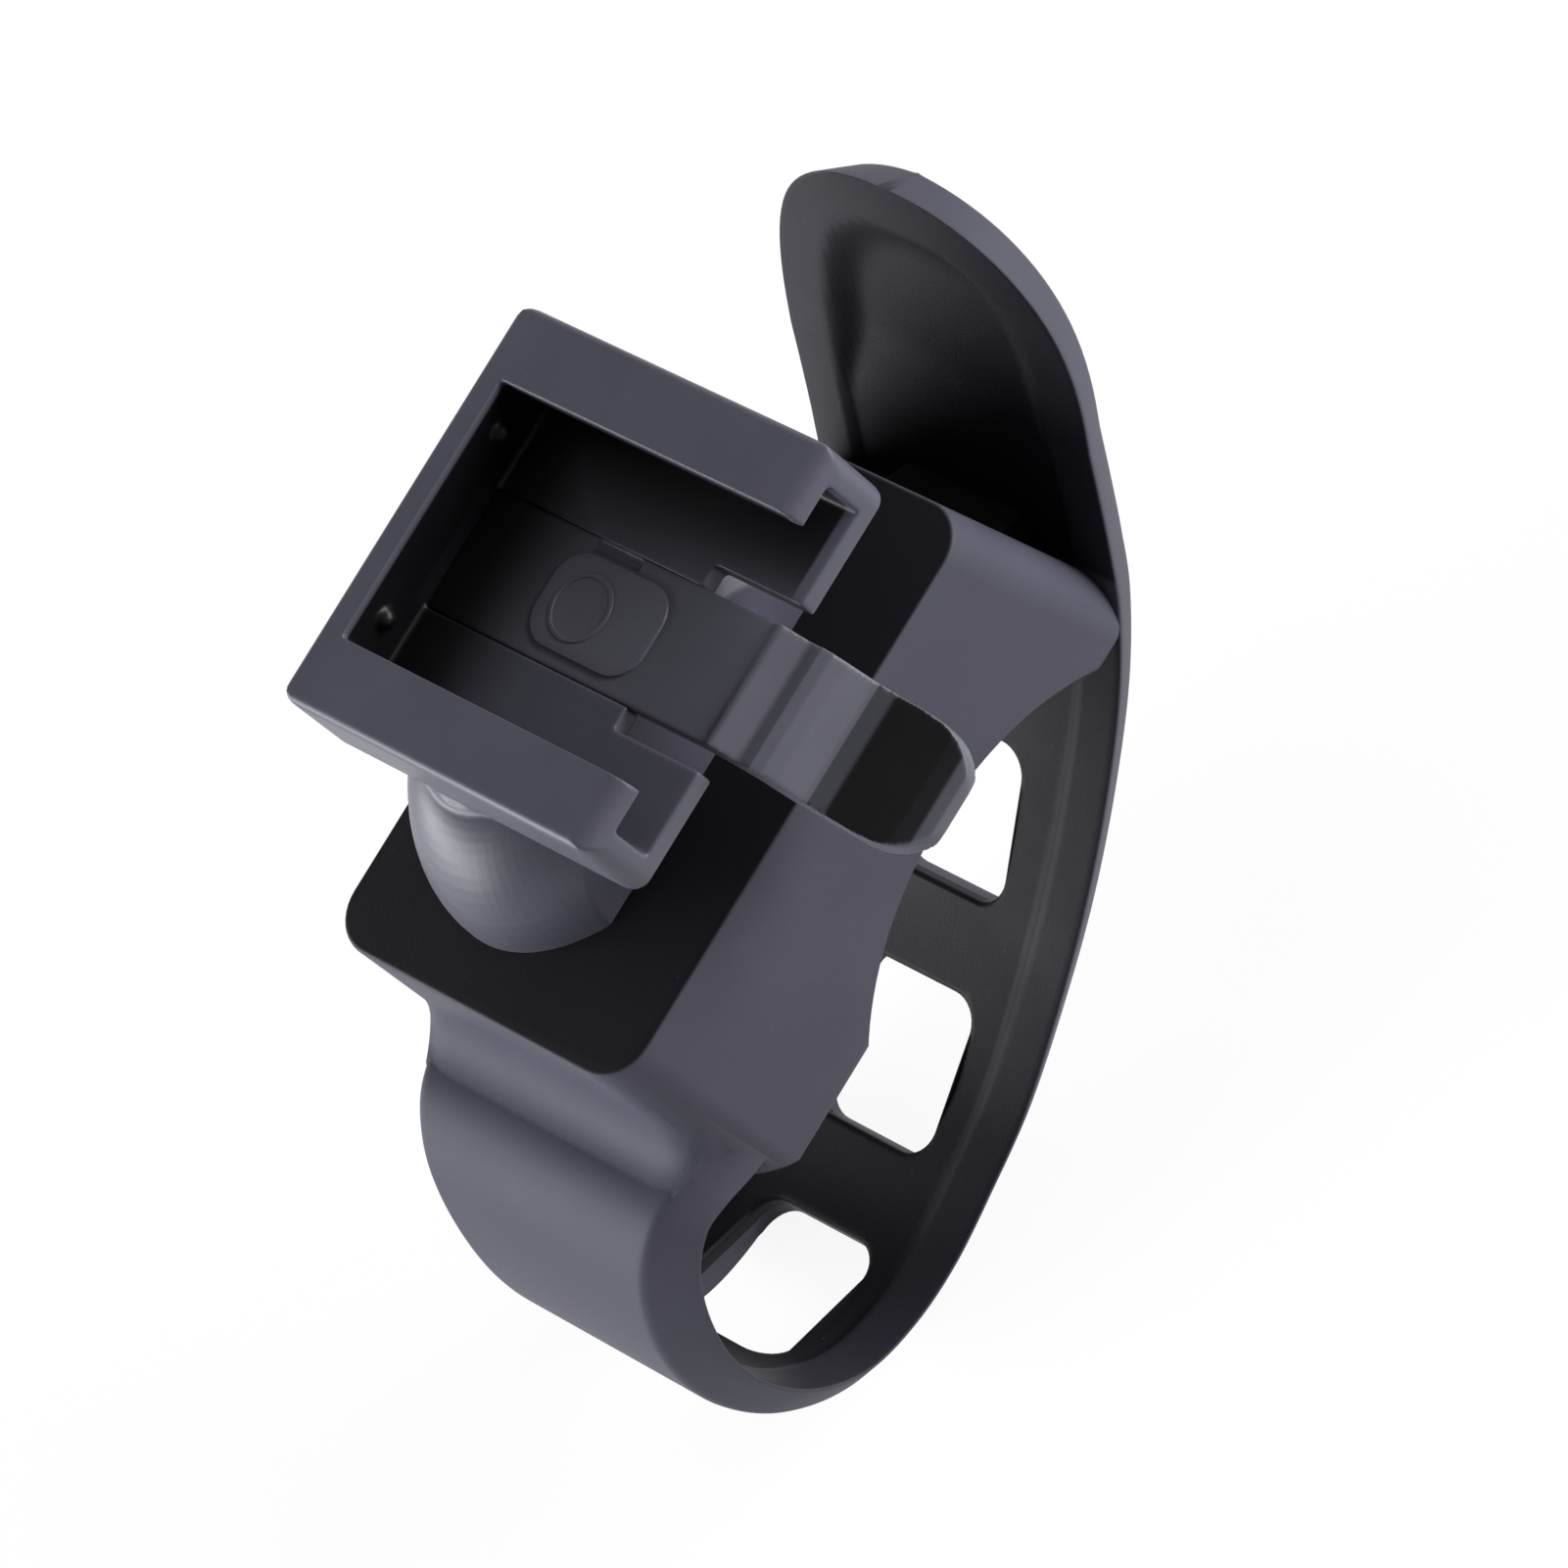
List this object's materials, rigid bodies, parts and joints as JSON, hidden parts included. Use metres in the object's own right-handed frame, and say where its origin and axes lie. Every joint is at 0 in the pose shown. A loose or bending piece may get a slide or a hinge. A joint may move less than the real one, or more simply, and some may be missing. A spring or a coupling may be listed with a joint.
{
  "type": "bike light clip",
  "caption": "Handlebar clip for a bike light: a rubber saddle and strap with windows and a pull tab, and a raised slide-in holder with a sprung release tongue.",
  "frame": {"origin": "on the handlebar's axis, at the middle of the saddle's width along the bar", "axes": "+Y along the handlebar towards the holder's closed end, +Z from the bar to the holder's open face, +X to the hook and pull tab"},
  "size_m": [0.0585, 0.0332, 0.0486],
  "materials": {
    "holder_plastic": "satin moulded",
    "latch_plastic": "satin moulded",
    "strap_rubber": "matte moulded"
  },
  "bodies": {
    "clip": {"holder": "holder_plastic", "strap_saddle": "strap_rubber"},
    "latch": {"latch": "latch_plastic"}
  },
  "joints": [
    {"name": "latch_press", "type": "hinge", "parent": "clip", "child": "latch", "pos_m": [0, -0.0058, 0.03533], "axis": [1, 0, 0], "range_deg": [0, 8], "stiffness_Nm_per_rad": 0.9}
  ]
}
